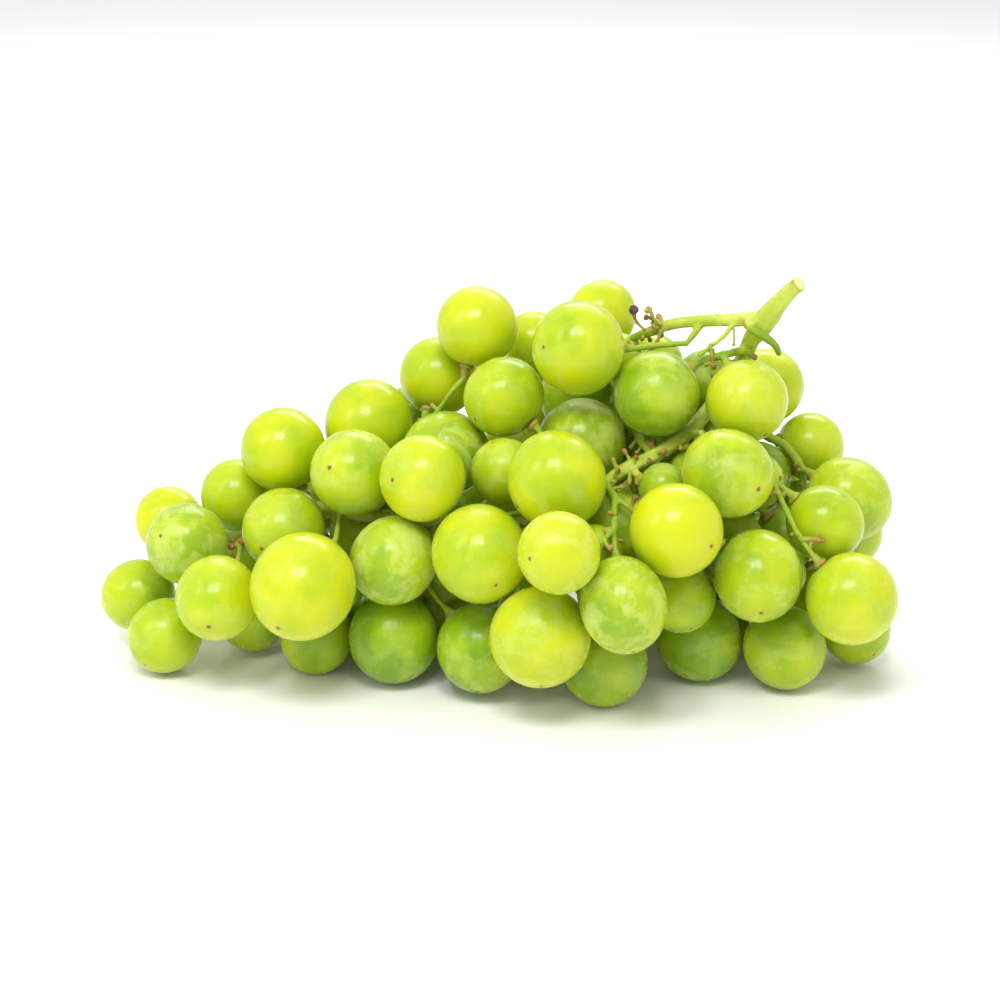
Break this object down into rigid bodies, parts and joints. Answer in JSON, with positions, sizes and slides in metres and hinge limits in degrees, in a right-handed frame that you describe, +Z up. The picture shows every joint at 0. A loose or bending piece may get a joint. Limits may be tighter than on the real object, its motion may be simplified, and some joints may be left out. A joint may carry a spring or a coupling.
{
  "type": "bunch of grapes",
  "caption": "Bunch of round green table grapes lying on its side, with its cut stalk and side branches.",
  "frame": {"origin": "on the surface it lies on, under the middle of the bunch's bounding box", "axes": "+X from the tip of the bunch towards the cut end of the stalk, +Y away from the front, +Z up"},
  "size_m": [0.206, 0.1244, 0.1026],
  "materials": {
    "grape_skin": "satin",
    "stalk_green": "matte"
  },
  "bodies": {
    "root": {"berry_01": "grape_skin", "berry_03": "grape_skin", "berry_04": "grape_skin", "berry_05": "grape_skin", "berry_06": "grape_skin", "berry_07": "grape_skin", "berry_08": "grape_skin", "berry_09": "grape_skin", "berry_10": "grape_skin", "berry_11": "grape_skin", "berry_12": "grape_skin", "berry_13": "grape_skin", "berry_14": "grape_skin", "berry_15": "grape_skin", "berry_16": "grape_skin", "berry_17": "grape_skin", "berry_18": "grape_skin", "berry_19": "grape_skin", "berry_20": "grape_skin", "berry_21": "grape_skin", "berry_22": "grape_skin", "berry_23": "grape_skin", "berry_24": "grape_skin", "berry_25": "grape_skin", "berry_26": "grape_skin", "berry_27": "grape_skin", "berry_28": "grape_skin", "berry_29": "grape_skin", "berry_30": "grape_skin", "berry_31": "grape_skin", "berry_32": "grape_skin", "berry_33": "grape_skin", "berry_34": "grape_skin", "berry_35": "grape_skin", "berry_36": "grape_skin", "berry_37": "grape_skin", "berry_38": "grape_skin", "berry_39": "grape_skin", "berry_40": "grape_skin", "berry_41": "grape_skin", "berry_42": "grape_skin", "berry_43": "grape_skin", "berry_44": "grape_skin", "berry_45": "grape_skin", "berry_47": "grape_skin", "berry_61": "grape_skin", "berry_62": "grape_skin", "berry_63": "grape_skin", "berry_64": "grape_skin", "berry_65": "grape_skin", "berry_66": "grape_skin", "berry_67": "grape_skin", "berry_68": "grape_skin", "berry_69": "grape_skin", "berry_70": "grape_skin", "berry_71": "grape_skin", "berry_72": "grape_skin", "berry_73": "grape_skin", "berry_74": "grape_skin", "stalk": "stalk_green"}
  },
  "joints": []
}
